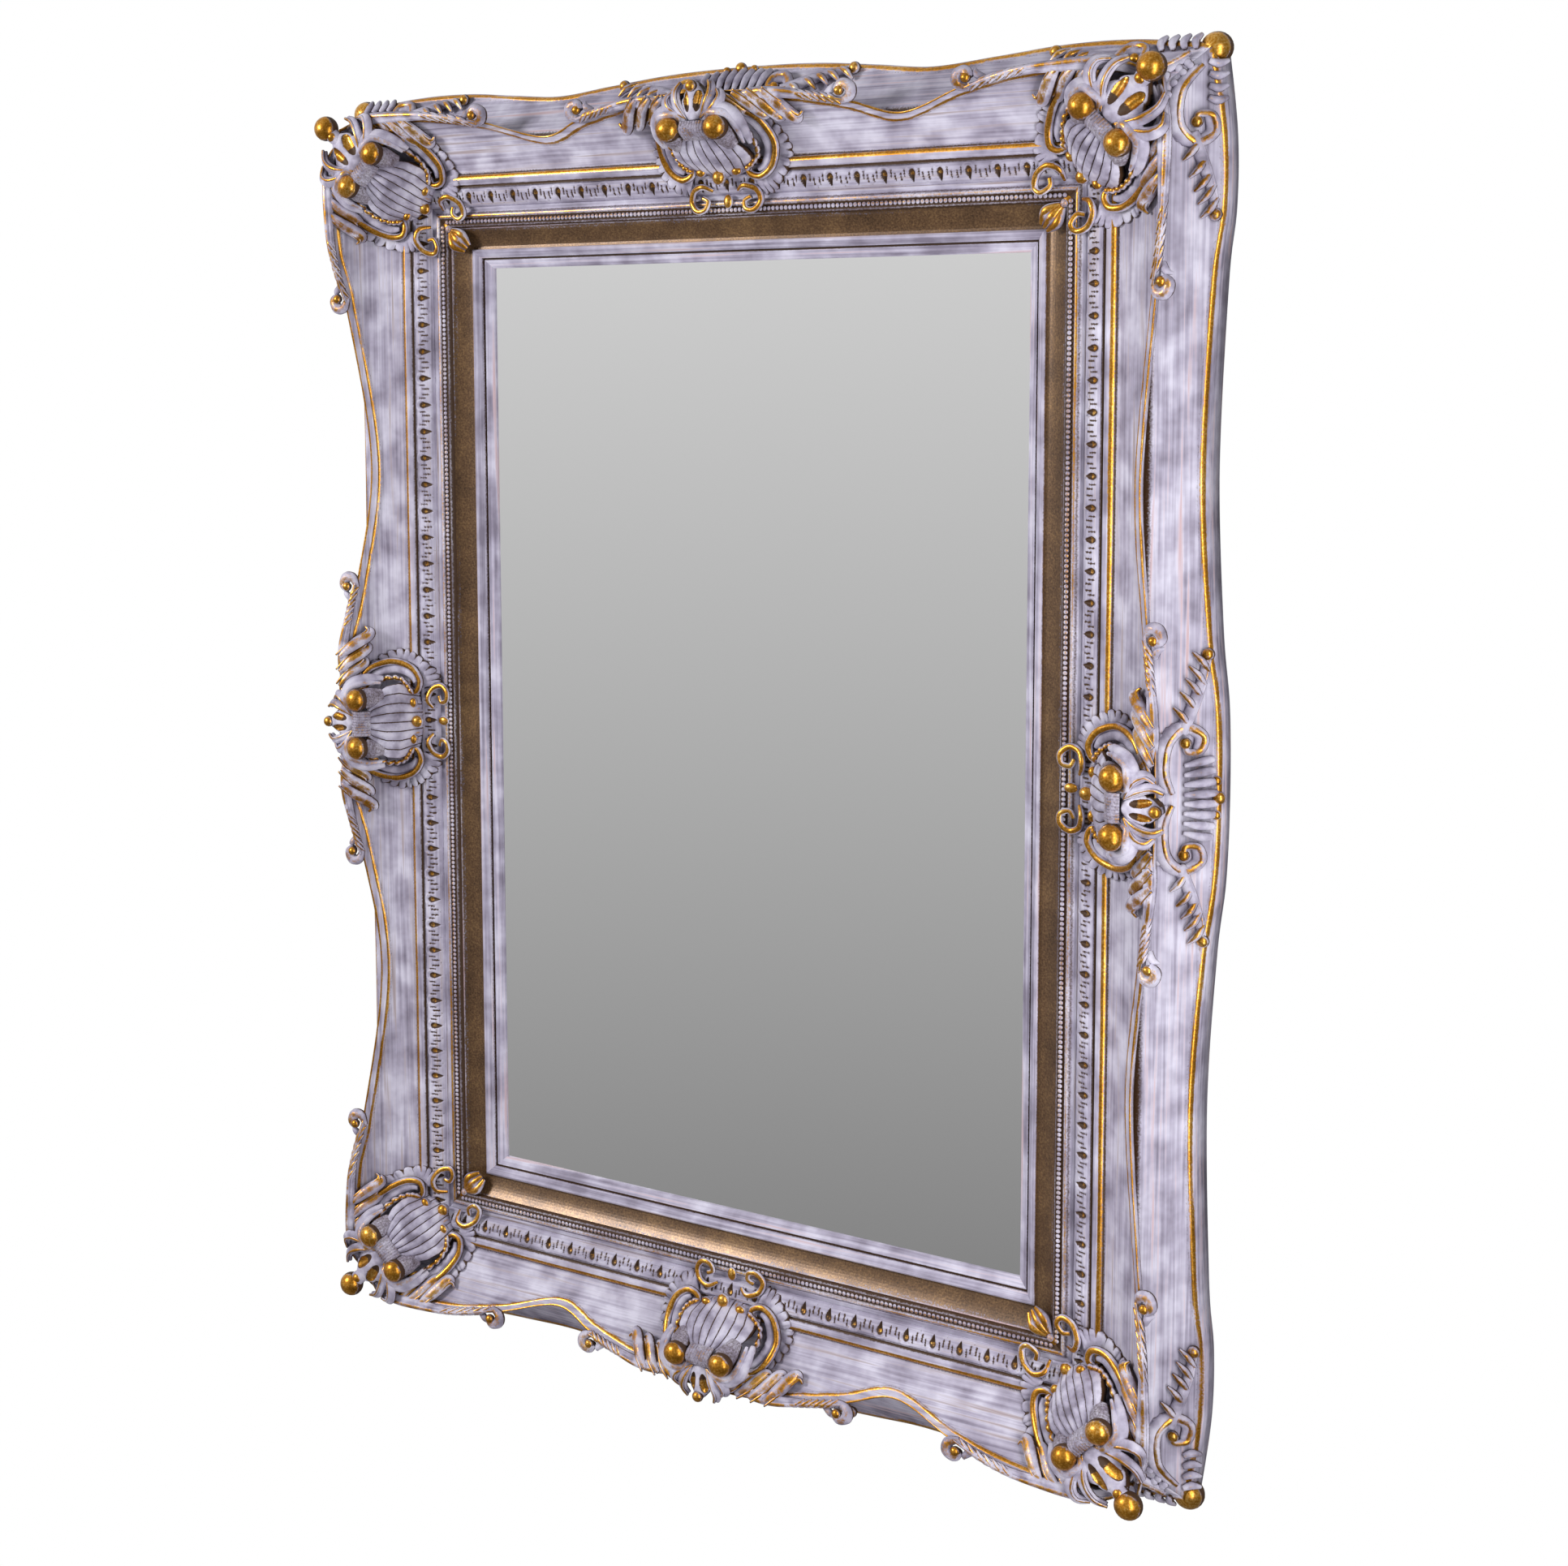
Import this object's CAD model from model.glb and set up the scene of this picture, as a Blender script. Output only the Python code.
import math

import bmesh
import bpy
from mathutils import Matrix, Vector


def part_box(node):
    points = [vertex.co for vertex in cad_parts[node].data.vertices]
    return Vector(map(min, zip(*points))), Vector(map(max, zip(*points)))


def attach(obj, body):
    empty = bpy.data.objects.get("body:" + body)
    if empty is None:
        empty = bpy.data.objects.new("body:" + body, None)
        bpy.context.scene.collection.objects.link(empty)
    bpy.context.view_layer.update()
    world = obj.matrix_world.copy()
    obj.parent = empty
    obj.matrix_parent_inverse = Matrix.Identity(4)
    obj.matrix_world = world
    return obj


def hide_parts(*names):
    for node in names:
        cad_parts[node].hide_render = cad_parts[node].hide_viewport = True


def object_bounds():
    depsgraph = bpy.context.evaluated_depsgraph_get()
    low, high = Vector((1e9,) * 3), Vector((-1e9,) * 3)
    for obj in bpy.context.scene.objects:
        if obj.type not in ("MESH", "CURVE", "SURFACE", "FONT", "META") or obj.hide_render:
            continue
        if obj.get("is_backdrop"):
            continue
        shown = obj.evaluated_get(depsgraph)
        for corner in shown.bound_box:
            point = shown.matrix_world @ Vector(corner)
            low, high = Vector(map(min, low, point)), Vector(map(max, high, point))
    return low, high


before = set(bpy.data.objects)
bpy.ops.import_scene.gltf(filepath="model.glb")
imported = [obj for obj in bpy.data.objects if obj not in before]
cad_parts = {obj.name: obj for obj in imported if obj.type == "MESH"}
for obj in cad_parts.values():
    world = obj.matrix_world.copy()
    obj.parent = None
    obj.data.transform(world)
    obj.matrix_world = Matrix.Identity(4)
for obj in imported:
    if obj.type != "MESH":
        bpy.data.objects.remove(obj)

bl_info = {
    "name": "Rococo wall mirror",
    "version": (1, 0, 0),
    "blender": (4, 5, 0),
    "location": "View3D > Sidebar > Mirror",
    "description": "Builds the carved, washed and gilt frame, its glass and the stage",
    "category": "Object",
}

# Layout of the frame, in mm
MM = 0.001
BACK = 28.0  # from the back plane to the front of the glass
HALF_W, HALF_H = 470.0, 750.0  # half the sight opening
# Each side: distance of its sight edge from the centre, half its length, turn about Y in degrees
SIDES = {"top": (HALF_H, HALF_W, 0.0), "right": (HALF_W, HALF_H, 90.0),
         "bottom": (HALF_H, HALF_W, 180.0), "left": (HALF_W, HALF_H, 270.0)}
# Each corner: signs of x and z
CORNERS = {"top_right": (1, 1), "bottom_right": (1, -1), "bottom_left": (-1, -1), "top_left": (-1, 1)}

# Camera solved from the photo: place in mm from the centre of the glass, turn as a rotation vector
CAMERA_AT = (1954.0, -3277.0, 668.0)
CAMERA_TURN = (0.1182, 0.0232, -0.6410)
SENSOR = 36.0
# Lamps: name, place in m, width, height, power in W
LAMPS = (("key", (1.6, -1.0, 0.1), 0.5, 2.4, 24.0), ("fill", (-2.4, -2.8, 1.6), 1.0, 1.0, 92.0))
SKY_STRENGTH = 0.21
# Grey that the glass reflects: place on the vertical ramp and brightness, then its fall from left to right
REFLECTED = ((0.30, 0.245), (0.53, 0.80))
ACROSS = {"From Min": -0.3, "From Max": 0.5, "To Min": 1.0, "To Max": 0.4}
FLOOR_SIZE, FLOOR_GAP = 30.0, 0.002


# Shape of the frame's face, in mm: u along the rail, a outward from the sight edge, d forward of the glass

def circle_through(p, q, r):
    """Centre and radius of the circle through three points."""
    (ax, ay), (bx, by), (cx, cy) = p, q, r
    d = 2 * (ax * (by - cy) + bx * (cy - ay) + cx * (ay - by))
    sa, sb, sc = ax * ax + ay * ay, bx * bx + by * by, cx * cx + cy * cy
    ux = (sa * (by - cy) + sb * (cy - ay) + sc * (ay - by)) / d
    uy = (sa * (cx - bx) + sb * (ax - cx) + sc * (bx - ax)) / d
    return ux, uy, math.hypot(ax - ux, ay - uy)


COVE_START, COVE_END = 150.0, 270.0
COVE_A, COVE_D, COVE_R = circle_through((150.0, 53.0), (200.0, 84.0), (268.0, 159.0))
# (a, d) of the mouldings inside the cove
LOW = [(0.0, 5.0), (26.0, 22.5), (66.0, 30.5), (75.7, 44.0), (98.0, 38.5), (111.0, 51.5), (128.0, 55.0),
       (150.0, 56.0)]
# (a, d) at the inner and outer end of the splayed side
SPLAY_IN, SPLAY_OUT = (207.0, 72.0), (312.0, -25.0)
# a of the swept edges, from the centre of a rail to its corner
LIP_SWEEP = (245, 240, 222, 200, 228, 244, 246, 231)
REAR_SWEEP = (290, 287, 276, 266, 274, 283, 282, 268)
LIP_REACH, REAR_REACH = 232.0, 268.0  # how far past the sight corner the two sweeps are followed


def lerp(x, table):
    """Value at x of a table of (x, y) rows."""
    for (x0, y0), (x1, y1) in zip(table, table[1:]):
        if x <= x1:
            return y0 + (y1 - y0) * max(0.0, x - x0) / (x1 - x0)
    return table[-1][1]


def ground(a):
    """Height of the frame's face at distance a from the sight edge."""
    if a < COVE_START:
        return lerp(a, LOW)
    return COVE_D - math.sqrt(COVE_R ** 2 - (min(a, COVE_END) - COVE_A) ** 2)


def splay(a):
    """Height of the splayed side behind the lip."""
    (a0, d0), (a1, d1) = SPLAY_IN, SPLAY_OUT
    return d0 + (d1 - d0) * (a - a0) / (a1 - a0)


def smooth(x, lo, hi):
    """Soft step from 0 at lo to 1 at hi."""
    k = min(1.0, max(0.0, (x - lo) / (hi - lo)))
    return k * k * (3 - 2 * k)


def spline(points, n):
    """n + 1 points on a smooth curve through the given ones (tuples of any size)."""
    out = []
    m = len(points) - 1
    for i in range(n + 1):
        x = i / n * m
        k = min(int(x), m - 1)
        f = x - k
        p0, p1, p2, p3 = (points[max(0, min(m, k + j))] for j in (-1, 0, 1, 2))
        out.append(tuple(0.5 * (2 * b + (c - a) * f + (2 * a - 5 * b + 4 * c - d) * f * f
                                + (3 * b - a - 3 * c + d) * f ** 3) for a, b, c, d in zip(p0, p1, p2, p3)))
    return out


def outline(half_len, sweep):
    """Function u -> a of the swept lip or rear edge of one rail."""
    us = [0, 120, 230, 450 if half_len > HALF_W else 325] + [half_len + w for w in (-50, 40, 140)]
    us.append(half_len + sweep[-1])
    fine = spline(list(zip([-u for u in us[:0:-1]] + us, sweep[:0:-1] + sweep)), 200)
    return lambda u: lerp(u, fine)


def link_mesh(name, bm, material):
    """New object from a bmesh, with one material."""
    mesh = bpy.data.meshes.new(name)
    bm.to_mesh(mesh)
    bm.free()
    mesh.materials.append(material)
    obj = bpy.data.objects.new(name, mesh)
    bpy.context.collection.objects.link(obj)
    return obj


class Sink:
    """One mesh being modelled in mm, with gilt, dark and flow attributes on its points."""

    def __init__(self):
        self.bm = bmesh.new()
        self.gilt = self.bm.verts.layers.float.new("gilt")
        self.dark = self.bm.verts.layers.float.new("dark")
        self.flow = self.bm.verts.layers.float_vector.new("flow")
        self.order = []

    def point(self, x, a, d, gilt=0.0, dark=0.0):
        v = self.bm.verts.new((x, -(d + BACK), a))
        v[self.gilt] = gilt
        v[self.dark] = dark
        v[self.flow] = (x, a, d)
        self.order.append(v)
        return v

    def lay_flow(self, v):
        """Flow of a moved point: its place in rail coordinates."""
        v[self.flow] = (v.co.x, v.co.z, -v.co.y - BACK)

    def skin(self, rows, closed_row, closed_col=False):
        """Quads between rows of points."""
        pairs = list(zip(rows, rows[1:])) + ([(rows[-1], rows[0])] if closed_col else [])
        for r0, r1 in pairs:
            n = len(r0)
            for j in range(n if closed_row else n - 1):
                self.bm.faces.new((r0[j], r0[(j + 1) % n], r1[(j + 1) % n], r1[j]))

    def loft(self, rows):
        """Solid through closed rows of points, capped at both ends."""
        self.skin(rows, True)
        self.bm.faces.new(rows[0][::-1])
        self.bm.faces.new(rows[-1])

    def tube(self, path, radii, flat=1.0, gilt=0.9, dark=0.6, sides=10, steps=28, stain=0.0):
        """Round or flattened scroll along (x, a, d) points; gilt on its crest, dark at its foot."""
        pts = [Vector((x, -(d + BACK), a)) for x, a, d in spline(path, steps)]
        rad = [r[0] for r in spline([(r,) for r in radii], steps)]
        front = Vector((0, -1, 0))
        rows = []
        for i, p in enumerate(pts):
            tan = (pts[min(i + 1, steps)] - pts[max(i - 1, 0)]).normalized()
            side = tan.cross(front).normalized()
            up = side.cross(tan)
            row = []
            for j in range(sides):
                th = 2 * math.pi * j / sides
                c = math.cos(th)
                q = p + (up * c * flat + side * math.sin(th)) * rad[i]
                row.append(self.point(q.x, q.z, -q.y - BACK, gilt * smooth(c, 0.45, 0.98),
                                      max(stain, dark * smooth(-c, -0.55, 0.2))))
            rows.append(row)
        self.loft(rows)

    def ball(self, x, a, d, r, squash=(1, 1, 1), gilt=1.0, dark=0.5, seg=18):
        """Ball or squashed bead; gilt in front, dark behind."""
        made = bmesh.ops.create_uvsphere(self.bm, u_segments=seg, v_segments=seg // 2 + 1, radius=1.0)["verts"]
        self.order += made
        for v in made:
            n = v.co.copy()
            v.co = Vector((x + n.x * r * squash[0], -(d + BACK) + n.y * r * squash[1], a + n.z * r * squash[2]))
            v[self.gilt] = gilt * smooth(-n.y, -0.1, 0.7)
            v[self.dark] = dark * smooth(n.y, -0.8, 0.05)
            self.lay_flow(v)

    def slab(self, top, thick, nu, nv):
        """Closed sheet: top(u, v) gives (x, a, d, gilt, dark) for u, v from 0 to 1; thick is its depth."""
        upper, lower = [], []
        for i in range(nu + 1):
            r0, r1 = [], []
            for j in range(nv + 1):
                x, a, d, g, k = top(i / nu, j / nv)
                r0.append(self.point(x, a, d, g, k))
                r1.append(self.point(x, a, d - thick, 0.0, 1.0))
            upper.append(r0)
            lower.append(r1)
        self.skin(upper, False)
        self.skin([r[::-1] for r in lower], False)
        rims = (([r[0] for r in lower], [r[0] for r in upper]), ([r[-1] for r in upper], [r[-1] for r in lower]),
                (upper[0], lower[0]), (lower[-1], upper[-1]))
        for p, q in rims:
            for j in range(len(p) - 1):
                self.bm.faces.new((p[j], q[j], q[j + 1], p[j + 1]))

    def mirror_copy(self, start):
        """Mirror image, across x = 0, of the points made since start."""
        self.reflect(start, lambda c: Vector((-c.x, c.y, c.z)))

    def swap_copy(self, start):
        """Mirror image, across a corner's diagonal, of the points made since start."""
        self.reflect(start, lambda c: Vector((c.z, c.y, c.x)))

    def reflect(self, start, image):
        verts = self.order[start:]
        faces = dict.fromkeys(f for v in verts for f in v.link_faces)
        new = {}
        for v in verts:
            w = self.bm.verts.new(image(v.co))
            for layer in (self.gilt, self.dark):
                w[layer] = v[layer]
            self.lay_flow(w)
            new[v] = w
            self.order.append(w)
        for f in faces:
            self.bm.faces.new([new[v] for v in reversed(f.verts)])

    def tilt45(self):
        """Turns all points onto a corner's diagonal."""
        turn = Matrix.Rotation(math.radians(45.0), 4, "Y")
        for v in self.order:
            v.co = turn @ v.co
            self.lay_flow(v)

    def done(self, name, matrix, material, smooth_faces=True):
        """Bakes the placement into the mesh and links the object."""
        bmesh.ops.recalc_face_normals(self.bm, faces=self.bm.faces)
        obj = link_mesh(name, self.bm, material)
        mesh = obj.data
        mesh.transform(Matrix.Scale(MM, 4) @ matrix)
        if matrix.determinant() < 0:
            mesh.flip_normals()
        for p in mesh.polygons:
            p.use_smooth = smooth_faces
        return obj


def side_matrix(side):
    """Places a rail that was modelled along x at its side."""
    offset, _, angle = SIDES[side]
    return Matrix.Rotation(math.radians(angle), 4, "Y") @ Matrix.Translation((0, 0, offset))


def corner_matrix(corner):
    """Places a corner that was modelled at the top right at its corner."""
    sx, sz = CORNERS[corner]
    return Matrix.Translation((sx * HALF_W, 0, sz * HALF_H)) @ Matrix.Diagonal((sx, 1, sz, 1))


def keep(obj, slot, *nodes):
    """Rides an object on the frame in place of the CAD nodes that it shows."""
    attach(obj, "frame")
    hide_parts(*nodes)
    return obj


# Materials

def linear(code):
    """Linear colour of an sRGB hex code."""
    parts = [int(code[i:i + 2], 16) / 255 for i in (1, 3, 5)]
    return [c / 12.92 if c <= 0.04045 else ((c + 0.055) / 1.055) ** 2.4 for c in parts] + [1.0]


class Finish:
    """A node tree with a short way to add and link nodes."""

    def __init__(self, name):
        self.mat = bpy.data.materials.new(name)
        self.mat.use_nodes = True
        self.tree = self.mat.node_tree
        self.shader = self.tree.nodes["Principled BSDF"]

    def feed(self, socket, term):
        """Gives an input a value or a link."""
        if isinstance(term, (int, float, list)):
            socket.default_value = term
        else:
            self.tree.links.new(term, socket)

    def add(self, kind, links=None, values=None, **settings):
        node = self.tree.nodes.new(kind)
        for key, value in settings.items():
            setattr(node, key, value)
        for key, value in (values or {}).items():
            node.inputs[key].default_value = value
        for key, source in (links or {}).items():
            self.tree.links.new(source, node.inputs[key])
        return node

    def maths(self, op, *terms, clamp=False):
        node = self.add("ShaderNodeMath", operation=op, use_clamp=clamp)
        for socket, term in zip(node.inputs, terms):
            self.feed(socket, term)
        return node.outputs[0]

    def above(self, term, level, gain, clamp=False):
        """(term - level) * gain"""
        return self.maths("MULTIPLY", self.maths("SUBTRACT", term, level), gain, clamp=clamp)

    def blend(self, first, share, second):
        """Weighted sum of two greys."""
        return self.maths("ADD", self.maths("MULTIPLY", first, share), self.maths("MULTIPLY", second, 1 - share))

    def attribute(self, name, output="Fac"):
        return self.add("ShaderNodeAttribute", attribute_name=name).outputs[output]

    def noise(self, vector, scale, detail=3.0, stretch=None):
        if stretch:
            vector = self.add("ShaderNodeVectorMath", {0: vector}, {1: stretch}, operation="MULTIPLY").outputs[0]
        return self.add("ShaderNodeTexNoise", {"Vector": vector}, {"Scale": scale, "Detail": detail}).outputs["Fac"]

    def ramp(self, fac, stops):
        node = self.add("ShaderNodeValToRGB", {"Fac": fac})
        ramp = node.color_ramp
        while len(ramp.elements) < len(stops):
            ramp.elements.new(0.5)
        for element, (place, code) in zip(ramp.elements, stops):
            element.position = place
            element.color = linear(code)
        return node.outputs["Color"]

    def mix(self, fac, first, second):
        node = self.add("ShaderNodeMix", data_type="RGBA")
        for socket, term in ((node.inputs["Factor"], fac), (node.inputs[6], first), (node.inputs[7], second)):
            self.feed(socket, term)
        return node.outputs[2]

    def put(self, socket, term):
        self.feed(self.shader.inputs[socket], term)


# Noise scales of the wash, per mm: stretched along the rails, and even on carving
RAIL_GRAIN = (0.004, 0.16, 0.16)
EVEN_GRAIN = (0.05, 0.05, 0.05)


def washed_gilding(name, wash, gold, brown, streak, grain=RAIL_GRAIN, shine=0.85):
    """Lavender-white wash brushed over gesso, rubbed gold leaf on the ridges, brown glaze in the hollows."""
    f = Finish(name)
    flow = f.attribute("flow", "Vector")
    gilt = f.attribute("gilt")
    dark = f.attribute("dark")
    broad = f.noise(flow, 0.02, 3.0)
    streaks = f.noise(flow, 1.0, 3.0, grain)
    fine = f.noise(flow, 0.35, 2.0)
    pale = f.ramp(f.blend(broad, 0.5, streaks), list(zip((0.36, 0.48, 0.61), wash)))
    pale = f.mix(f.above(streaks, 0.56, 4.0 * streak, clamp=True), pale, linear(brown[1]))
    edge = f.maths("ADD", gilt, f.above(fine, 0.5, 0.55))
    wear = f.above(streaks, 0.5, 0.9)
    leaf = f.above(f.maths("SUBTRACT", edge, wear), 0.42, 4.0, clamp=True)
    hollow = f.maths("ADD", dark, f.above(fine, 0.5, 0.5))
    shade = f.above(hollow, 0.36, 3.2, clamp=True)
    metal = f.ramp(f.blend(fine, 0.6, broad), list(zip((0.25, 0.5, 0.75), gold)))
    glazed = f.mix(shade, pale, linear(brown[0]))
    f.put("Base Color", f.mix(leaf, glazed, metal))
    f.put("Metallic", f.maths("MULTIPLY", leaf, shine))
    f.put("Roughness", f.maths("SUBTRACT", 0.62, f.maths("MULTIPLY", leaf, 0.32)))
    bump = f.add("ShaderNodeBump", {"Height": fine}, {"Strength": 0.12, "Distance": 0.0006})
    f.put("Normal", bump.outputs["Normal"])
    return f.mat


def plain(name, code, metallic, rough):
    """One colour, mottled with a darker tone of it."""
    f = Finish(name)
    coords = f.add("ShaderNodeTexCoord").outputs["Object"]
    tone = f.noise(coords, 60.0, 3.0)
    base = [int(code[i:i + 2], 16) for i in (1, 3, 5)]
    dim = "#" + "".join("%02x" % int(c * 0.82) for c in base)
    f.put("Base Color", f.ramp(tone, [(0.35, dim), (0.65, code)]))
    f.put("Metallic", metallic)
    f.put("Roughness", rough)
    return f.mat


def colour_prop(name, code, words):
    return bpy.props.FloatVectorProperty(name=name, description=words, subtype="COLOR", size=3,
                                         default=linear(code)[:3], min=0.0, max=1.0)


class MirrorSizes(bpy.types.PropertyGroup):
    bead_pitch: bpy.props.FloatProperty(
        name="Bead pitch", description="Spacing of the bead row, mm", default=7.2, min=3.0)
    egg_pitch: bpy.props.FloatProperty(
        name="Egg pitch", description="Spacing of the egg-and-dart, mm", default=44.0, min=20.0)
    fringe_scallops: bpy.props.IntProperty(
        name="Scallops", description="Scallops on each side of a fringe", default=13, min=4)
    shell_flutes: bpy.props.IntProperty(name="Flutes", description="Flutes of each shell", default=8, min=3)


class MirrorStage(bpy.types.PropertyGroup):
    lens: bpy.props.FloatProperty(
        name="Lens", description="Focal length over sensor width", default=3045.0 / 1932.0)
    shift_x: bpy.props.FloatProperty(name="Shift X", description="Sideways lens shift", default=0.19)
    shift_y: bpy.props.FloatProperty(name="Shift Y", description="Vertical lens shift", default=-0.11)
    backdrop: colour_prop("Backdrop", "#ffffff", "Colour behind the mirror")


MATS = {}


def make_materials():
    wash = ("#837b8e", "#b2abc1", "#dedaec")
    gold = ("#7a4a10", "#c08428", "#f0c878")
    bronze = ("#38281c", "#6b5038", "#9c7a52")
    brown = ("#43290f", "#9c8480")
    blush = (brown[0], "#cfb2b8")
    # Lavender-white wash on the rails, with brown streaks along them and worn gilt lines
    MATS["gesso"] = washed_gilding("Washed gesso moulding", wash, gold, brown, 1.3)
    # The same wash with pink undercoat rubbed through on the splayed sides
    MATS["side"] = washed_gilding("Washed gesso side", wash, gold, blush, 1.6)
    # Wash without grain on the carving, gold on its crests and brown in its hollows
    MATS["carving"] = washed_gilding("Washed and gilt carving", wash, gold, brown, 0.3, EVEN_GRAIN)
    # Dark bronze gilding of the hollow band round the glass, with the wash on the slip's lip
    MATS["bronze"] = washed_gilding("Dark bronze gilding", wash, bronze, blush, 1.6, shine=0.35)
    # Unpainted softwood of the carcass and the glass stops
    MATS["pine"] = plain("Bare pine", "#a97c4c", 0.0, 0.7)
    # Pressed brown board behind the glass
    MATS["board"] = plain("Hardboard", "#6f5638", 0.0, 0.75)
    # Bright plating of the plates, hangers and screws
    MATS["zinc"] = plain("Zinc plated steel", "#a9a9a4", 0.9, 0.35)
    # Wall bumpers
    MATS["rubber"] = plain("Black rubber", "#1c1c1c", 0.0, 0.7)
    # Silvered mirror, almost free of blur
    glass = Finish("Silvered glass")
    glass.put("Base Color", linear("#e8e8e8"))
    glass.put("Metallic", 1.0)
    glass.put("Roughness", 0.03)
    MATS["glass"] = glass.mat


# Mouldings. A section is a list of (a, d, gilt, dark); an edge gives (distance inside the sweep, rise, gilt, dark)

RAIL_FOOT = -12.0
RAIL_FACE = [
    (66, RAIL_FOOT, 0, 0), (66, 36, 0, .8), (69, 39.5, 0, .5), (70, 40, 0, .7), (80.5, 39.5, 0, .8),
    (82, 41, .3, .5), (84.9, 42.6, .62, .3), (87.6, 41.2, .3, .5), (89, 39.5, 0, .6), (93.5, 35.5, 0, .15),
    (98, 38.3, 0, .2), (98, 33, 0, .5), (128, 33, 0, .6), (128.5, 54, .1, .5), (130, 52, 0, 1),
    (131.5, 51.5, 0, 1), (133.5, 56.5, 0, .35), (136, 58.4, 0, .1), (140.5, 59.2, .2, 0), (143.5, 59.4, .95, 0),
    (146.8, 58.0, .85, .1), (149.5, 55.5, .2, .8), (150.5, 53.4, 0, .6)]
RAIL_LIP = ((14, 1.2, .2, .5), (12.5, 3.6, .75, 0), (10.5, 4.4, .7, 0), (8.5, 3.4, .1, .2), (6, 3.2, 0, 0),
            (4.2, 3.8, .15, .1), (2.6, 5.0, .8, 0), (.8, 4.4, .8, 0), (0, 1.8, .5, 0), (0, -6, .1, .5),
            (3, -11, 0, .9))
COVE_FOOT, COVE_STOP = 150.5, 15.0  # a where the cove's points begin, and how far inside the lip they end
COVE_STEPS, COVE_THICK, COVE_BACK_STEPS = 12, 14.0, 6
SIDE_FOOT, SIDE_KNEE, SIDE_STOP, SIDE_STEPS = -28, 210, 12, 8
SIDE_FACE = [(150, SIDE_FOOT, 0, 0), (150, 38, 0, .9), (178, 53, 0, .9), (204, 72, 0, .7), (SIDE_KNEE, 69.2, 0, .3)]
SIDE_EDGE = ((9.5, 1, .1, .4), (7, 3.6, .55, 0), (4.5, 4.4, .85, 0), (2, 3.8, .7, 0), (.4, 2.4, .2, .1),
             (0, -2, .1, .3))
SLIP_LIP = [
    (13, RAIL_FOOT, 0, 0), (13, 0, 0, .3), (0, 0, 0, .3), (0, 3.2, 0, .2), (1.4, 4.6, 0, 0), (6, 7.2, 0, .05),
    (12, 10, 0, .1), (13.6, 10.6, .1, .5), (14, 8.2, 0, .8), (16.4, 8.2, 0, .8), (16.8, 13.6, .1, .4),
    (20, 17.5, 0, .1), (25, 22, 0, 0), (28, 22.9, .1, 0), (30.4, 21.4, .3, .4), (31, 17, .9, .6)]
BAND_IN, BAND_OUT, BAND_STEPS = 31, 65.9, 8
EGG_IN, EGG_WIDE, EGG_STEP, EGG_THICK = 98.2, 29.6, 2.0, 8.0
EGG_FACE = [(98, 38.5), (103, 45.5), (111, 51.5), (120, 53.6), (128, 54.2)]
# Small hollows between the eggs: distance from the middle, half width, a from and to, depth
EGG_CUTS = ((4.6, 2.2, 103, 119, 3.0), (10.6, 2.0, 108, 124, 2.8))


def stations(n):
    """Places along a rail, from -1 at one mitre to 1 at the other."""
    return [-1 + 2 * i / n for i in range(n + 1)]


def mitred(sink, half_len, v, section):
    """Points of a section at one station; each lies at its own share of the mitred length."""
    return [sink.point(v * (half_len + a), a, d, g, k) for a, d, g, k in section]


def rail_mesh(half_len):
    """Front rail: closed section swept from mitre to mitre, its cove running out to the swept lip."""
    sink = Sink()
    lip = outline(half_len, LIP_SWEEP)
    rows = []
    for v in stations(180):
        reach = lip(v * (half_len + LIP_REACH))
        section = list(RAIL_FACE)
        for k in range(1, COVE_STEPS + 1):
            a = COVE_FOOT + (reach - COVE_STOP - COVE_FOOT) * k / COVE_STEPS
            section.append((a, ground(a), 0, 0.18 * (k == COVE_STEPS)))
        for off, rise, g, dk in RAIL_LIP:
            section.append((reach - off, ground(reach - off) + rise, g, dk))
        for k in range(1, COVE_BACK_STEPS + 1):
            a = reach - 3 + (COVE_START - reach + 3) * k / COVE_BACK_STEPS
            section.append((a, ground(max(a, COVE_FOOT)) - COVE_THICK, 0, .9))
        section.append((COVE_START, RAIL_FOOT, 0, 0))
        rows.append(mitred(sink, half_len, v, section))
    sink.loft(rows)
    return sink


def side_mesh(half_len):
    """Splayed side rail with a gilt bead on its swept rear edge."""
    sink = Sink()
    rear = outline(half_len, REAR_SWEEP)
    rows = []
    for v in stations(140):
        reach = rear(v * (half_len + REAR_REACH))
        section = list(SIDE_FACE)
        for k in range(1, SIDE_STEPS + 1):
            a = SIDE_KNEE + (reach - SIDE_STOP - SIDE_KNEE) * k / SIDE_STEPS
            section.append((a, splay(a), 0, .22 * (1 - smooth(k, 0, 4)) + .3 * (k == SIDE_STEPS)))
        for off, rise, g, dk in SIDE_EDGE:
            section.append((reach - off, splay(reach - off) + rise, g, dk))
        section.append((reach, SIDE_FOOT, 0, .3))
        rows.append(mitred(sink, half_len, v, section))
    sink.loft(rows)
    return sink


def slip_mesh(half_len):
    """Slip: stepped pale lip with a brown groove, then the dark gilt hollow band."""
    sink = Sink()
    section = list(SLIP_LIP)
    for k in range(1, BAND_STEPS + 1):
        a = BAND_IN + (BAND_OUT - BAND_IN) * k / BAND_STEPS
        section.append((a, 16.5 + 14.0 * (k / BAND_STEPS) ** 1.7, 1.0 - .4 * smooth(k, 5, BAND_STEPS), .3))
    section += [(BAND_OUT, 26, 0, .9), (BAND_OUT, RAIL_FOOT, 0, 0)]
    sink.loft([mitred(sink, half_len, v, section) for v in stations(60)])
    return sink


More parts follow.
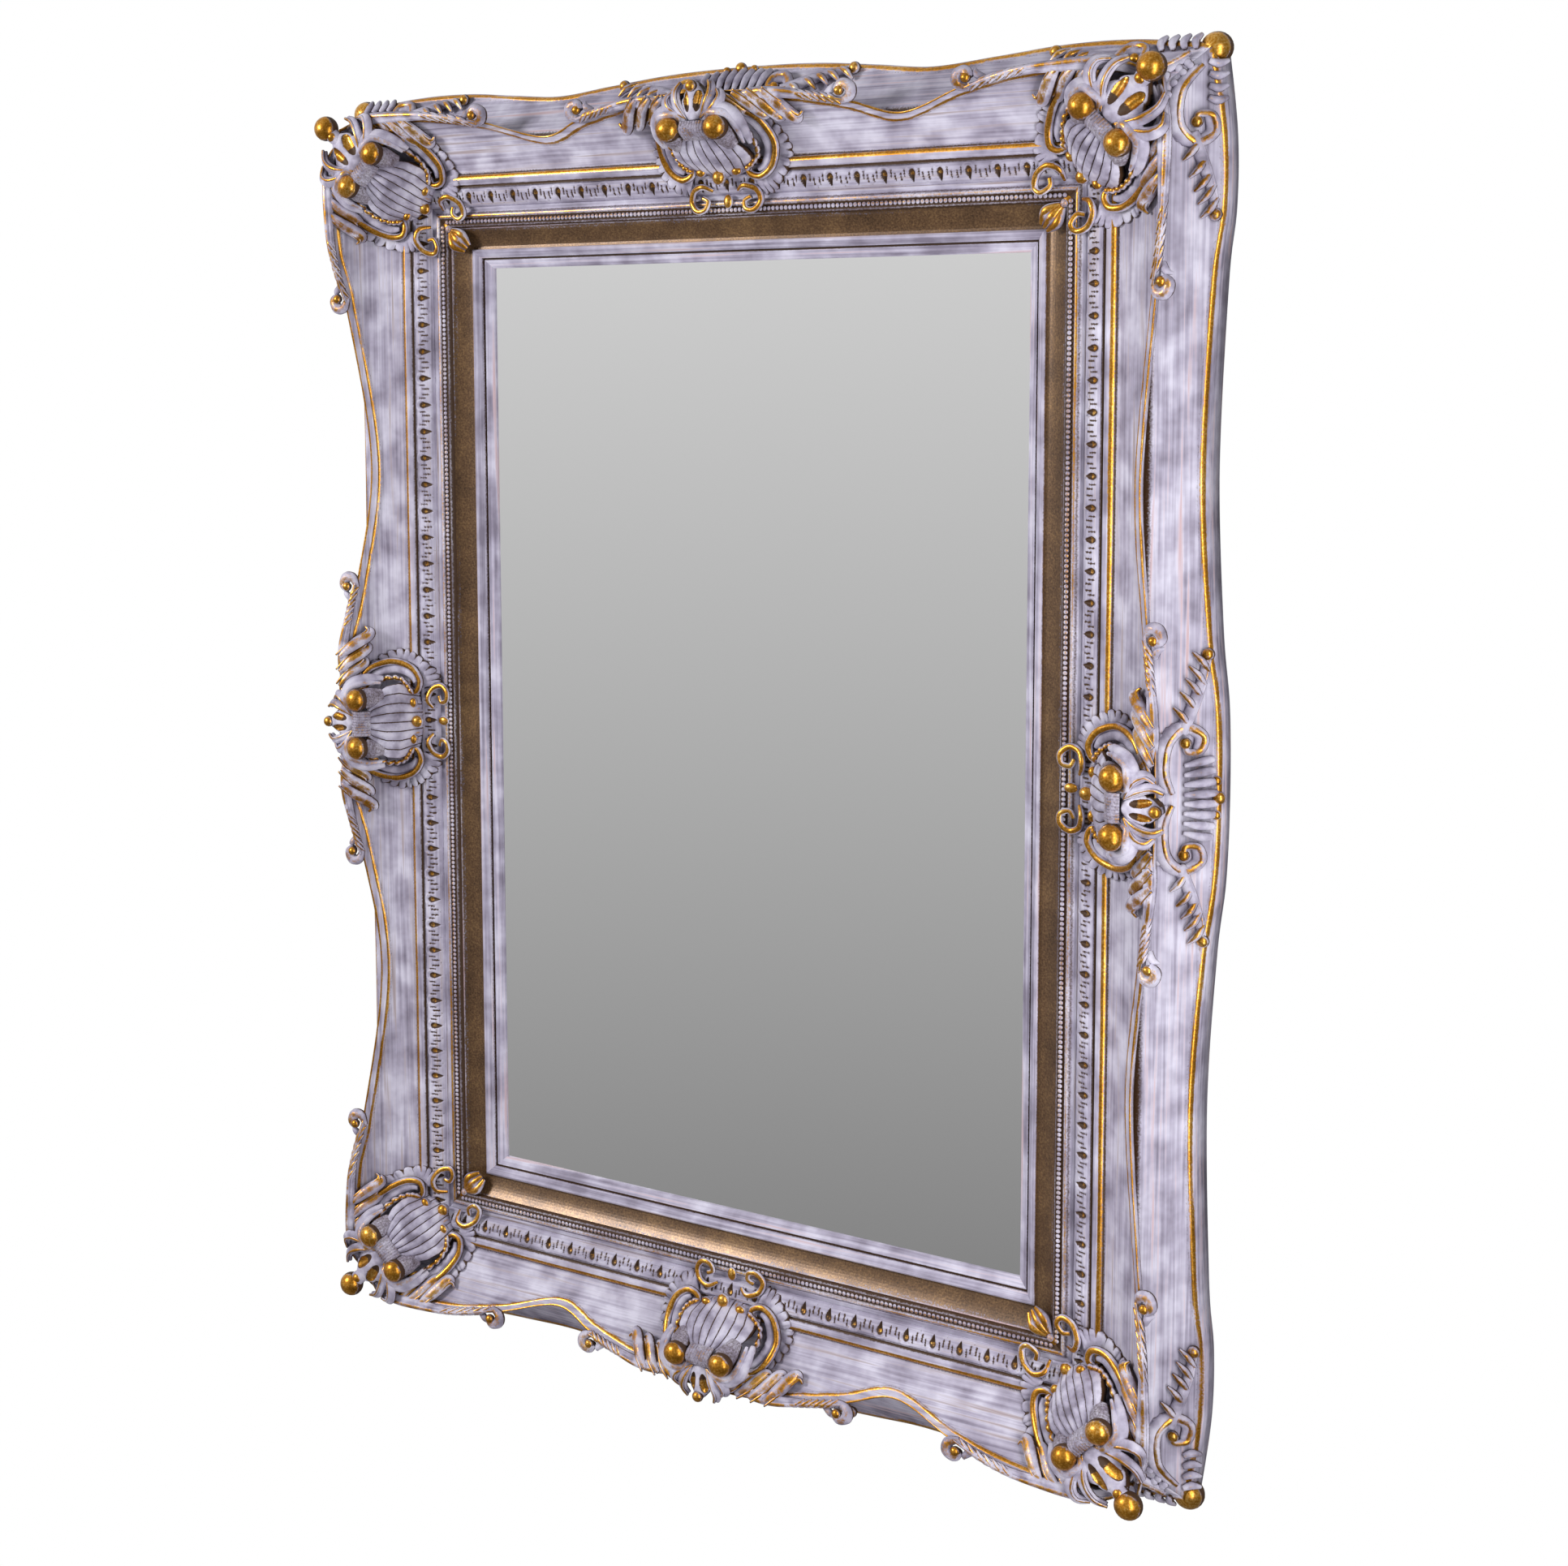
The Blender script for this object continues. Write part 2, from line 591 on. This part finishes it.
def bead_mesh(half_len, pitch):
    """Row of beads between the slip and the astragal."""
    sink = Sink()
    count = int(2 * (half_len + 72) / pitch)
    for i in range(count):
        sink.ball((i - (count - 1) / 2) * pitch, 75.4, 40.6, 3.5, gilt=0.45, dark=0.9, seg=8)
    return sink


def egg_mesh(half_len, pitch):
    """Egg-and-dart: a drop hollow, then a leaf with two small hollows and a dot."""
    sink = Sink()

    def top(u, v):
        a = EGG_IN + EGG_WIDE * u
        x = (2 * v - 1) * (half_len + a)
        d = lerp(a, EGG_FACE)
        along = ((x / pitch + 0.5) % 1.0 - 0.5) * pitch
        g, k = 0.0, 0.0
        drop = math.hypot(along / (2.6 + 4.6 * smooth(a, 101, 119)), (a - 112.5) / 12.0)
        if drop < 1:
            d -= 6.5 * (1 - drop ** 2)
            k = smooth(1 - drop, .0, .35)
            g = .62 * smooth(1 - drop, .2, .5) * smooth(a, 108, 117)
        rim = abs(drop - 1.28)
        d += 1.3 * (1 - smooth(rim, 0, .3))
        far = pitch / 2 - abs(along)
        for place, half, low, high, deep in EGG_CUTS:
            cut = max(abs(far - place) / half, abs(a - (low + high) / 2) / ((high - low) / 2))
            if cut < 1:
                d -= deep * (1 - cut ** 2)
                k = max(k, .75 * smooth(1 - cut, 0, .4))
        dot = math.hypot(far, a - 102.5) / 2.4
        if dot < 1:
            d -= 1.6 * (1 - dot * dot)
            k = max(k, .8 * (1 - dot))
            g = max(g, .5 * (1 - dot))
        edge = min(a - EGG_IN, EGG_IN + EGG_WIDE - a)
        return x, a, d - 2.0 * (1 - smooth(edge, 0, 2)), g, max(k, .5 * (1 - smooth(edge, 0, 1.5)))

    sink.slab(top, EGG_THICK, 18, int(2 * (half_len + 120) / EGG_STEP))
    return sink


# Carving. t is the distance from an ornament's axis and s the distance from the sight edge or the sight corner

# Layout of a shell at a centre (False) or a corner (True): volute (t, s), (s, d) of the wedge from its rim to the
# collar, s of the crown's foot and tip, spread of the crown, width of the shell
SHELL_LAYOUT = {
    False: ((40.7, 191.0), [(124, 68), (132, 76), (186, 138)], (203.0, 260.0), 1.0, 1.0),
    True: ((35.7, 226.3), [(140, 66), (150, 76), (220, 138)], (236.0, 314.0), 1.4, 0.88)}
# Paths of the tails along the lip, as (x, a)
CENTRE_TAIL = [(36, 220), (60, 230), (92, 236), (128, 236), (165, 231), (200, 225), (232, 219)]
CORNER_TAIL = [(208, 226), (178, 238), (140, 242), (90, 242), (40, 240), (-8, 233), (-52, 223)]
TAIL_END = 246.0  # a beyond which a tail lies level


def centre_spot(t, s):
    return t, s


def centre_face(t, s):
    return ground(s)


def corner_spot(t, s):
    """Place on the diagonal of a point that is given for a centre."""
    return t * 0.88, 149.0 + (s - 130.0) * 1.26


def corner_face(t, s):
    return ground((s + abs(t)) / math.sqrt(2))


def shell_fan(sink, face, wedge, wide, flutes):
    """Fluted dome from between the volutes down to its rounded rim."""
    rim, collar = wedge[0][0], wedge[2][0]

    def fan(u, v):
        k = 2 * v - 1
        half = wide * lerp(u, [(0, 30), (0.2, 48), (0.45, 61), (0.7, 64), (1, 54)])
        s = collar - 2 - (collar - 2 - rim) * u * (1 - 0.2 * k * k)
        flute = abs(math.sin(flutes * math.pi * v)) ** 0.6
        d = lerp(s, wedge) + 10 * math.sin(math.pi * u) - 20 * k * k * (0.4 + 0.6 * u) - 6 * smooth(u, .86, 1)
        d += 7.0 * (flute - .7) * smooth(u, 0, .2)
        g = .5 * smooth(flute, .9, 1) * smooth(u, .86, .97)
        return half * k, s, max(d, face(half * k, s) + 3), g, .95 * smooth(.6 - flute, 0, .3)

    sink.slab(fan, 16.0, 26, flutes * 10)


def shell_fringe(sink, spot, face, scallops):
    """Ruffled fringe outside the scrolls."""
    steps, depth = 90, 26.0
    places = ((58, 220), (98, 200), (116, 168), (110, 135), (86, 106), (62, 98))
    curve = spline([spot(*p) for p in places], steps)

    def ruffle(u, v):
        i = int(u * steps)
        x, a = curve[i]
        x0, a0 = curve[max(0, i - 1)]
        x1, a1 = curve[min(steps, i + 1)]
        n = math.hypot(x1 - x0, a1 - a0) or 1.0
        wave = abs(math.sin(math.pi * scallops * u))
        w = -depth + (depth + 3.5 * wave) * v
        px, pa = x - (a1 - a0) / n * w, a + (x1 - x0) / n * w
        d = face(px, pa) + 5.5 + 2.2 * (wave - .4) * v - 2.0 * smooth(v, .85, 1)
        notch = smooth(.5 - wave, 0, .4) * smooth(v, .45, .85)
        return px, pa, d - 2.5 * notch, 0.0, .9 * notch + .5 * smooth(v, .9, 1)

    sink.slab(ruffle, 9.0, steps, 8)


def shell_scrolls(sink, on):
    """Gilt C-scroll round the shell, its pale inner fold, the foliate rope edge and the small C-scroll."""
    big = [(54, 220, 14), (86, 202, 15), (99, 170, 13), (90, 138, 11), (69, 122, 10), (50, 128, 10), (52, 144, 11),
           (64, 145, 11)]
    sink.tube(on(big), [3.4, 5.4, 6.2, 6.2, 6, 5.4, 5.2, 5], gilt=1.0, dark=1.0, steps=54)
    fold = [(50, 214, 12), (76, 196, 12), (86, 168, 10), (78, 142, 9), (64, 132, 8)]
    sink.tube(on(fold), [4, 7, 8, 7, 4], flat=.7, gilt=0.0, dark=.25, steps=30)
    rope = spline([(46, 206, 34), (66, 184, 25), (70, 160, 19), (60, 143, 16), (46, 133, 15)], 9)
    for p, q in zip(rope, rope[1:]):
        middle = ((p[0] + q[0]) / 2 + 3, (p[1] + q[1]) / 2, p[2] + 3)
        sink.tube(on([p, middle, q]), [2.0, 5.2, 2.4], gilt=.95, dark=.9, steps=8, sides=8)
    small = [(22, 104, 7), (36, 110, 8), (54, 104, 8), (60, 88, 8), (50, 75, 8), (36, 76, 8), (32, 88, 8),
             (42, 94, 8)]
    sink.tube(on(small), [3, 4.8, 5.2, 5.2, 5, 4.4, 4.2, 4], gilt=.95, dark=.95, steps=44)


def volute(sink, t, s):
    """Ball, its dark neck and the leaf wound round it in two layers."""
    sink.ball(t, s, 147, 18.5, (1.05, 1, 1), gilt=1.0, dark=1.0, seg=26)
    neck = [(t - 2, s - 2, 134), (t + 2, s - 10, 126), (t + 5, s - 22, 108)]
    sink.tube(neck, [17, 17, 11], gilt=.0, dark=1.0, steps=14, stain=.5)
    for lift, thin in ((0, 1.0), (7, .62)):
        wound = [(t - 25 + lift, s + 2, 130), (t - 17 + lift / 2, s + 20, 140), (t + 3, s + 28 - lift, 143),
                 (t + 25 - lift, s + 17, 138), (t + 34 - lift, s - 4, 124), (t + 33 - lift, s - 22, 104)]
        sink.tube([(x, a, d + lift) for x, a, d in wound], [r * thin for r in (4, 8, 10, 10, 8, 4)],
                  flat=.8, gilt=.5 * (lift > 0), dark=.5, steps=36)


def crown_carving(sink, foot, tip, spread):
    """Crown: a pale lobed leaf with two gilt almond hollows, side leaves and a bead at the tip."""
    span = tip - foot

    def crown(u, v):
        k = 2 * v - 1
        lobes = .82 + .18 * abs(math.sin(3 * math.pi * u))
        half = spread * lobes * lerp(u, [(0, 15), (.35, 27), (.7, 22), (1, 7)])
        t, s = half * k, foot + span * u * (1 - .12 * k * k)
        almond = math.hypot((abs(t) - (6 + 7 * u) * spread) / (6.5 * spread), (u - .5) / .32)
        d = 142 + 9 * math.sin(math.pi * (.15 + .7 * u)) - 12 * k * k
        cup = max(0.0, 1 - almond * almond)
        dark = max(smooth(cup, 0, .3), .8 * smooth(abs(k), .8, 1))
        return t, s, d - 8 * cup, .95 * smooth(u, .28, .5) * smooth(cup, .1, .4), dark

    sink.slab(crown, 14.0, 36, 36)
    for k in (-1, 1):
        for wide, reach, thick in ((1.0, .95, 8.0), (1.5, .72, 9.0)):
            blade = [(k * 14, foot, 138), (k * 26 * wide * spread, foot + span * .4 * reach, 145),
                     (k * 31 * wide * spread, foot + span * .75 * reach, 141),
                     (k * 26 * wide * spread, foot + span * reach, 134)]
            sink.tube(blade, [5, thick, thick * .9, 5], flat=.75, gilt=.3, dark=.9, steps=22, sides=14)
            sink.tube([(x - k * 2, a + 2, d + 5) for x, a, d in blade], [1.4, 3, 3, 2.4],
                      gilt=.8, dark=1.0, steps=20, sides=8)
    sink.ball(0, tip - 8, 148, 9, gilt=.8, dark=1.0)


def corner_ends(sink):
    """Bud towards the glass, and the ball at the tip on its short neck."""
    for k in (-1, 0, 1):
        petal = [(k * 3, 86, ground(60) + 8), (k * 12, 66, ground(47) + 12), (k * 7, 46, ground(33) + 8)]
        sink.tube(petal, [4, 7.5, 3], gilt=.8, dark=.8, steps=18)
    sink.ball(0, 92, ground(65) + 8, 6, gilt=.6)
    sink.tube([(0, 284, 137), (0, 306, 143), (0, 322, 146)], [9, 12, 14], gilt=.2, dark=.9, steps=12, sides=14)
    sink.ball(0, 325.3, 147, 20, gilt=1.0, dark=1.0, seg=24)


def tail_carving(sink, path, way, first):
    """Leaf scroll and husk tail along the lip, ending in a small knob that overhangs it."""
    def face(a):
        return ground(min(a, TAIL_END)) + 3.0

    fine = spline(path, 40)
    for off, lift, thick, shine in ((0, 3, 1.0, .2), (5, 9, .5, .6), (-6, 6, .5, .3)):
        stem = [(x, a + off * (1 - i / 6), face(a) + lift) for i, (x, a) in enumerate(path)]
        sink.tube(stem, [r * thick for r in (4, 9, 10, 8.5, 6.5, 5, 4)],
                  flat=.8, gilt=shine, dark=.7, steps=48, sides=12)
    # leaves across the start of the tail, each with a gilt rib
    for i in range(4):
        x, a = path[0][0] + way * (first + 24.5 * i), 211.0 - 3.5 * i
        blade = [(x - way * 38, 240), (x - way * 20, 229 - 2 * i), (x, a), (x + way * 9, a + 5)]
        blade = [(bx, ba, face(ba) + up) for (bx, ba), up in zip(blade, (8, 13, 9, 4))]
        sink.tube(blade, [4, 7 + i, 6.5 + i, 3], flat=.8, gilt=.6, dark=1.0, steps=22, sides=14)
        sink.tube([(bx + way * 4, ba + 4, bd + 4) for bx, ba, bd in blade], [1.5, 3, 4, 2],
                  gilt=.95, dark=1.0, steps=18, sides=8)
    # husks along its end
    for (x, a), (nx, na) in zip(fine[24:35:2], fine[28:39:2]):
        husk = [(x, a + 5, face(a) + 3), ((x + nx) / 2, (a + na) / 2 + 1, face(na) + 9), (nx, na - 6, face(na) + 3)]
        sink.tube(husk, [2.5, 4.8, 1.8], gilt=.8, dark=1.0, steps=8, sides=8)
    # hooked knob
    x, a = fine[-1]
    d = face(a)
    hook = [(x - way * 8, a, d + 3), (x + way * 8, a + 6, d + 6), (x + way * 9, a + 18, d + 8),
            (x - way * 3, a + 23, d + 9), (x - way * 9, a + 14, d + 10)]
    sink.tube(hook, [4.5, 8, 9, 8.5, 8], gilt=.55, dark=.8, steps=26, sides=12)
    sink.ball(x - way * 6, a + 14, d + 13, 7.5, gilt=.9, dark=.9)
    sprig = [(x - way * 30, a + 12, d + 4), (x - way * 20, a + 18, d + 8), (x - way * 16, a + 26, d + 4)]
    sink.tube(sprig, [5, 5.5, 2], gilt=.4, dark=.8, steps=12)


def shell_carving(corner, flutes, scallops):
    """Fluted shell, volutes, scrolls, ruffle, crown and leaf tails, at a centre or on a corner."""
    sink = Sink()
    spot, face = (corner_spot, corner_face) if corner else (centre_spot, centre_face)
    volute_at, wedge, crown_ends, spread, wide = SHELL_LAYOUT[corner]
    collar = wedge[2][0]

    def on(points):
        out = []
        for t, s, h in points:
            t, s = spot(t, s)
            out.append((t, s, face(t, s) + h))
        return out

    shell_fan(sink, face, wedge, wide, flutes)
    start = len(sink.order)
    shell_fringe(sink, spot, face, scallops)
    shell_scrolls(sink, on)
    sink.ball(*on([(31, 131, 15)])[0], 7.5, (1.15, 1, .9))
    volute(sink, *volute_at)
    sink.mirror_copy(start)
    # ribbed collar between the volutes
    for i in range(9):
        x = (i - 4) * 4.6
        sink.tube([(x, collar - 10, 132), (x, collar + 2, 149), (x, collar + 15, 146)], [3, 3.6, 3],
                  gilt=.4, dark=1.0, steps=10, sides=8, stain=.45)
    # beads on the axis, at the shell's rim and nearest the glass
    sink.ball(*on([(0, 123, 16)])[0], 10.5, (1.0, 1, 1.1))
    sink.ball(*on([(0, 88, 3)])[0], 9.0, (.85, .6, 1.2))
    crown_carving(sink, *crown_ends, spread)
    if corner:
        corner_ends(sink)
        sink.tilt45()
    begin = len(sink.order)
    if corner:
        tail_carving(sink, CORNER_TAIL, -1, 78)
        sink.swap_copy(begin)
    else:
        tail_carving(sink, CENTRE_TAIL, 1, 36)
        sink.mirror_copy(begin)
    return sink


# Rear scroll and tail as (x, a, height), and the way the tail runs, at a centre (False) or a corner (True)
REAR_LAYOUT = {
    False: ([(8, 238, 8), (40, 230, 9), (80, 234, 9), (100, 252, 9), (88, 270, 9), (68, 268, 10), (66, 254, 11),
             (78, 252, 11)], [(92, 246, 9), (130, 258, 9), (164, 266, 8), (200, 271, 7)], 1),
    True: ([(238, 256, 8), (205, 236, 9), (160, 234, 9), (138, 252, 9), (150, 270, 9), (172, 268, 10),
            (174, 254, 11), (164, 252, 11)], [(150, 246, 9), (110, 258, 9), (76, 266, 8), (42, 270, 7)], -1)}


def rear_carving(corner):
    """Scrolls, leaf tails, beads and knobs on the splayed side."""
    sink = Sink()
    scroll, tail, way = REAR_LAYOUT[corner]

    def lay(points):
        return [(x, a, splay(a) + h) for x, a, h in points]

    sink.tube(lay(scroll), [4, 6, 7, 7, 6.4, 5.6, 5, 4.6], gilt=.7, dark=.8, steps=54)
    sink.ball(*lay([scroll[-1]])[0], 8.0, gilt=1.0, dark=.7)
    fold = lay([(x, a - 7, h - 2) for x, a, h in scroll[:6]])
    sink.tube(fold, [3, 6, 8, 8, 6, 4], flat=.8, gilt=.1, dark=.5, steps=40)
    for bead in lay(spline([(x, a - 15, h - 6) for x, a, h in scroll[:4]], 8)):
        sink.ball(*bead, 6.0, (1, .7, 1), gilt=.1, dark=.9, seg=10)
    for off, thick, shine in ((0, 1.0, .2), (5, .5, .6)):
        stem = lay([(x, a + off, h + off / 2) for x, a, h in tail])
        sink.tube(stem, [r * thick for r in (9, 8, 6, 4)], flat=.8, gilt=shine, dark=.7, steps=30)
    fine = spline(tail, 18)
    for x, a, h in fine[2:15:3]:
        husk = lay([(x, a + 6, h + 2), (x + way * 14, a, h + 6), (x + way * 26, a - 12, h - 1)])
        sink.tube(husk, [3, 5.5, 2], gilt=.75, dark=.9, steps=12, sides=8)
    x, a, d = lay([fine[-1]])[0]
    sink.ball(x, a + 2, d, 9.0, gilt=.7, dark=.8)
    if corner:
        for k in range(4):
            x = 196 + 16 * k
            sink.tube(lay([(x, 262, 7), (x - 4, 272, 8), (x, 281, 5)]), [4, 6, 3],
                      gilt=.4, dark=.8, steps=10, sides=8)
        sink.swap_copy(0)
        sink.ball(262, 262, 2, 22, gilt=1.0, dark=1.0, seg=24)
    else:
        for k in range(4):
            x = 7 + 15 * k
            sink.tube(lay([(x * .9, 250, 9), (x, 268, 11), (x * 1.05, 284 - k * 1.5, 6)]), [3, 6.5, 5],
                      gilt=.3, dark=.75, steps=14, sides=8)
        sink.ball(24, 284, splay(284) + 6, 6.5, gilt=1.0)
        sink.mirror_copy(0)
        sink.ball(0, 287, splay(287) + 7, 9.0, gilt=1.0)
    return sink


# Stage

def make_floor():
    """Pale floor under the frame; it only bounces light."""
    bm = bmesh.new()
    bmesh.ops.create_grid(bm, x_segments=1, y_segments=1, size=FLOOR_SIZE)
    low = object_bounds()[0][2]
    for v in bm.verts:
        v.co.z = low - FLOOR_GAP
    # Matt light grey paint
    f = Finish("Pale floor")
    f.put("Base Color", linear("#d8d8d8"))
    f.put("Roughness", 0.9)
    floor = link_mesh("floor", bm, f.mat)
    floor.visible_camera = False
    floor.visible_glossy = False
    floor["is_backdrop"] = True


def make_world(backdrop):
    """White sky for the light, a graded grey for reflections and the backdrop colour for the camera."""
    world = bpy.data.worlds.new("Studio")
    world.use_nodes = True
    tree = world.node_tree
    tree.nodes.clear()

    def node(kind, values=()):
        made = tree.nodes.new("ShaderNode" + kind)
        for socket, value in dict(values).items():
            made.inputs[socket].default_value = value
        return made

    sky = node("Background", {"Color": (1.0, 1.0, 1.0, 1.0), "Strength": SKY_STRENGTH})
    seen = node("Background", {"Color": (*backdrop, 1.0), "Strength": 1.0})
    grey = node("Background")
    coords, split, path = node("TexCoord"), node("SeparateXYZ"), node("LightPath")
    ramp = node("ValToRGB")
    for element, (place, tone) in zip(ramp.color_ramp.elements, REFLECTED):
        element.position = place
        element.color = (tone, tone, tone, 1)
    shift = node("Math", {1: 0.5, 2: 0.5})
    shift.operation = "MULTIPLY_ADD"
    across = node("MapRange", ACROSS)
    lit, shown, out = node("MixShader"), node("MixShader"), node("OutputWorld")
    for source, socket in (
            (coords.outputs["Generated"], split.inputs[0]), (split.outputs["Z"], shift.inputs[0]),
            (shift.outputs[0], ramp.inputs["Fac"]), (ramp.outputs["Color"], grey.inputs["Color"]),
            (split.outputs["X"], across.inputs["Value"]), (across.outputs["Result"], grey.inputs["Strength"]),
            (path.outputs["Is Glossy Ray"], lit.inputs["Fac"]), (sky.outputs[0], lit.inputs[1]),
            (grey.outputs[0], lit.inputs[2]), (path.outputs["Is Camera Ray"], shown.inputs["Fac"]),
            (lit.outputs[0], shown.inputs[1]), (seen.outputs[0], shown.inputs[2]),
            (shown.outputs[0], out.inputs["Surface"])):
        tree.links.new(source, socket)
    return world


def make_lamps():
    """Area lamps that face the frame's centre."""
    for name, place, wide, tall, power in LAMPS:
        data = bpy.data.lights.new(name, "AREA")
        data.shape = "RECTANGLE"
        data.size = wide
        data.size_y = tall
        data.energy = power
        lamp = bpy.data.objects.new(name, data)
        lamp.location = place
        lamp.rotation_mode = "QUATERNION"
        lamp.rotation_quaternion = Vector([-c for c in place]).to_track_quat("-Z", "Y")
        bpy.context.collection.objects.link(lamp)


def make_camera(stage):
    """Camera at the place that was solved."""
    data = bpy.data.cameras.new("camera")
    data.sensor_width = SENSOR
    data.lens = stage.lens * SENSOR
    data.shift_x = stage.shift_x
    data.shift_y = stage.shift_y
    camera = bpy.data.objects.new("camera", data)
    turn = Matrix.Rotation(Vector(CAMERA_TURN).length, 3, Vector(CAMERA_TURN)).transposed()
    level = Matrix(((1, 0, 0), (0, 0, -1), (0, 1, 0)))
    pose = (turn @ level).to_4x4()
    pose.translation = Vector(CAMERA_AT) * MM + Vector((0, -BACK * MM, 0))
    camera.matrix_world = pose
    bpy.context.collection.objects.link(camera)
    return camera


# Operators

class MirrorOperator:
    bl_options = {"REGISTER"}


class MIRROR_OT_mouldings(MirrorOperator, bpy.types.Operator):
    """Slips, front rails with their bead rows, egg-and-dart strips and side rails"""
    bl_idname = "mirror.mouldings"
    bl_label = "Build mouldings"

    def execute(self, context):
        sizes = context.scene.mirror_sizes
        mat = MATS["gesso"]
        for side, (_, half_len, _) in SIDES.items():
            place = side_matrix(side)
            rail = rail_mesh(half_len).done("front_rail." + side, place, mat)
            keep(rail, "washed_gesso", "front_rail_" + side)
            beads = bead_mesh(half_len, sizes.bead_pitch).done("bead_row." + side, place, mat)
            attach(beads, "frame")
            splayed = side_mesh(half_len).done("side_rail." + side, place, MATS["side"])
            keep(splayed, "washed_gesso", "side_rail_" + side)
            slip = slip_mesh(half_len).done("slip." + side, place, MATS["bronze"], False)
            keep(slip, "bronze_gilt", "slip_" + side)
            eggs = egg_mesh(half_len, sizes.egg_pitch).done("egg_and_dart." + side, place, mat)
            keep(eggs, "washed_gesso", "egg_strip_" + side)
        return {"FINISHED"}


class MIRROR_OT_carving(MirrorOperator, bpy.types.Operator):
    """Shell ornaments at the centres and corners, front and rear"""
    bl_idname = "mirror.carving"
    bl_label = "Build carving"

    def execute(self, context):
        sizes = context.scene.mirror_sizes
        mat = MATS["carving"]
        spots = [("centre_ornament", False, side, side_matrix(side)) for side in SIDES]
        spots += [("corner_ornament", True, corner, corner_matrix(corner)) for corner in CORNERS]
        for kind, corner, where, place in spots:
            front = shell_carving(corner, sizes.shell_flutes, sizes.fringe_scallops)
            keep(front.done(kind + "." + where, place, mat), "gilt_gesso", kind + "_" + where)
            rear = rear_carving(corner)
            keep(rear.done("rear_" + kind + "." + where, place, mat), "gilt_gesso", "rear_" + kind + "_" + where)
        return {"FINISHED"}


class MIRROR_OT_glass(MirrorOperator, bpy.types.Operator):
    """Silvered glass behind the slip"""
    bl_idname = "mirror.glass"
    bl_label = "Build glass"

    def execute(self, context):
        lo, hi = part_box("mirror_glass")
        bm = bmesh.new()
        bmesh.ops.create_cube(bm, size=1.0)
        for v in bm.verts:
            v.co = Vector([(lo[i] + hi[i]) / 2 + v.co[i] * (hi[i] - lo[i]) for i in range(3)])
        keep(link_mesh("glass", bm, MATS["glass"]), "mirror", "mirror_glass")
        return {"FINISHED"}


class MIRROR_OT_back(MirrorOperator, bpy.types.Operator):
    """Finishes of the hidden pine, board and hardware, which show as modelled"""
    bl_idname = "mirror.back"
    bl_label = "Finish the back"

    def execute(self, context):
        rules = (("carcass", "pine"), ("glass_stop", "pine"), ("backing", "board"), ("wall_bumpers", "rubber"),
                 ("corner_plate", "zinc"), ("hanger", "zinc"), ("board_screws", "zinc"), ("plate_screws", "zinc"),
                 ("strap_screws", "zinc"))
        for name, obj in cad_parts.items():
            for stem, mat in rules:
                if name.startswith(stem):
                    obj.data.materials.clear()
                    obj.data.materials.append(MATS[mat])
        return {"FINISHED"}


class MIRROR_OT_stage(MirrorOperator, bpy.types.Operator):
    """Floor, backdrop light, lamps and the camera"""
    bl_idname = "mirror.stage"
    bl_label = "Build stage"

    def execute(self, context):
        scene = context.scene
        make_floor()
        scene.world = make_world(scene.mirror_stage.backdrop)
        make_lamps()
        scene.camera = make_camera(scene.mirror_stage)
        scene.view_settings.view_transform = "Standard"
        return {"FINISHED"}


class MIRROR_PT_panel(bpy.types.Panel):
    bl_idname = "MIRROR_PT_panel"
    bl_label = "Rococo mirror"
    bl_space_type = "VIEW_3D"
    bl_region_type = "UI"
    bl_category = "Mirror"

    def draw(self, context):
        for group in (context.scene.mirror_sizes, context.scene.mirror_stage):
            for name in group.bl_rna.properties.keys():
                if name not in ("rna_type", "name"):
                    self.layout.prop(group, name)
        for op in OPERATORS:
            self.layout.operator(op.bl_idname)


OPERATORS = (MIRROR_OT_mouldings, MIRROR_OT_carving, MIRROR_OT_glass, MIRROR_OT_back, MIRROR_OT_stage)
CLASSES = (MirrorSizes, MirrorStage) + OPERATORS + (MIRROR_PT_panel,)


def register():
    for cls in CLASSES:
        bpy.utils.register_class(cls)
    bpy.types.Scene.mirror_sizes = bpy.props.PointerProperty(type=MirrorSizes)
    bpy.types.Scene.mirror_stage = bpy.props.PointerProperty(type=MirrorStage)


def unregister():
    del bpy.types.Scene.mirror_sizes
    del bpy.types.Scene.mirror_stage
    for cls in reversed(CLASSES):
        bpy.utils.unregister_class(cls)


def main():
    register()
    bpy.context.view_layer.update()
    make_materials()
    bpy.ops.mirror.mouldings()
    bpy.ops.mirror.carving()
    bpy.ops.mirror.glass()
    bpy.ops.mirror.back()
    bpy.ops.mirror.stage()


if __name__ == "__main__":
    main()
